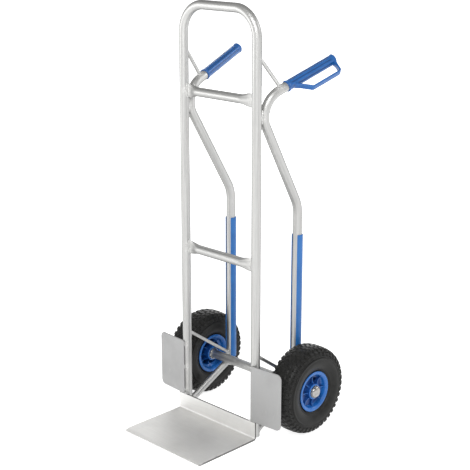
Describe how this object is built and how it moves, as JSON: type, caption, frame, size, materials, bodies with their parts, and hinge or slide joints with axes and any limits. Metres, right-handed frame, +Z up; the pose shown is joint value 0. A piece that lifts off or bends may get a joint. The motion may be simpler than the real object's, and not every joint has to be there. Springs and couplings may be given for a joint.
{
  "type": "hand truck",
  "caption": "Upright aluminium hand truck with a looped tube frame, folded toe plate, wheel guards, stair glides, side grips with knuckle guards and air-filled wheels on a cross axle.",
  "frame": {"origin": "on the floor, midway between the two wheels and midway between the toe plate's front edge and the rearmost point of the tyres", "axes": "+X across the truck towards its right wheel, +Y backwards from the toe plate towards the wheels and grips, +Z up; the truck stands upright"},
  "size_m": [0.5142, 0.5094, 1.2318],
  "materials": {
    "satin_aluminium": "satin mill finish with ground weld areas",
    "blue_plastic": "satin moulded blue plastic",
    "blue_rim_plastic": "semi-gloss moulded blue plastic",
    "black_tyre": "matt black tyre rubber",
    "black_rubber": "matt black rubber",
    "zinc_steel": "bright zinc-plated steel",
    "black_plastic": "matt black plastic"
  },
  "bodies": {
    "frame": {"main_frame_tube": "satin_aluminium", "upper_crossbar": "satin_aluminium", "lower_crossbar": "satin_aluminium", "toe_plate": "satin_aluminium", "left_wheel_guard": "satin_aluminium", "right_wheel_guard": "satin_aluminium", "left_handle_tube": "satin_aluminium", "right_handle_tube": "satin_aluminium", "left_foot_strut": "satin_aluminium", "right_foot_strut": "satin_aluminium", "left_axle_gusset": "satin_aluminium", "right_axle_gusset": "satin_aluminium", "left_handle_stay": "satin_aluminium", "right_handle_stay": "satin_aluminium", "left_axle_stay": "satin_aluminium", "right_axle_stay": "satin_aluminium", "left_stair_glide": "blue_plastic", "right_stair_glide": "blue_plastic", "left_grip": "blue_plastic", "right_grip": "blue_plastic", "axle_tube": "satin_aluminium", "axle_rod": "zinc_steel", "left_inner_washer": "zinc_steel", "right_inner_washer": "zinc_steel", "left_outer_washer": "zinc_steel", "right_outer_washer": "zinc_steel", "left_axle_cap": "zinc_steel", "right_axle_cap": "zinc_steel"},
    "left_wheel": {"left_tyre": "black_tyre", "left_inner_tube": "black_rubber", "left_rim": "blue_rim_plastic", "left_valve_stem": "black_rubber", "left_valve_cap": "black_plastic", "left_outer_bearing": "zinc_steel", "left_inner_bearing": "zinc_steel"},
    "right_wheel": {"right_tyre": "black_tyre", "right_inner_tube": "black_rubber", "right_rim": "blue_rim_plastic", "right_valve_stem": "black_rubber", "right_valve_cap": "black_plastic", "right_outer_bearing": "zinc_steel", "right_inner_bearing": "zinc_steel"}
  },
  "joints": [
    {"name": "left_wheel_spin", "type": "hinge", "parent": "frame", "child": "left_wheel", "pos_m": [-0.209, 0.1247, 0.13], "axis": [1, 0, 0], "continuous": true},
    {"name": "right_wheel_spin", "type": "hinge", "parent": "frame", "child": "right_wheel", "pos_m": [0.209, 0.1247, 0.13], "axis": [1, 0, 0], "continuous": true}
  ]
}
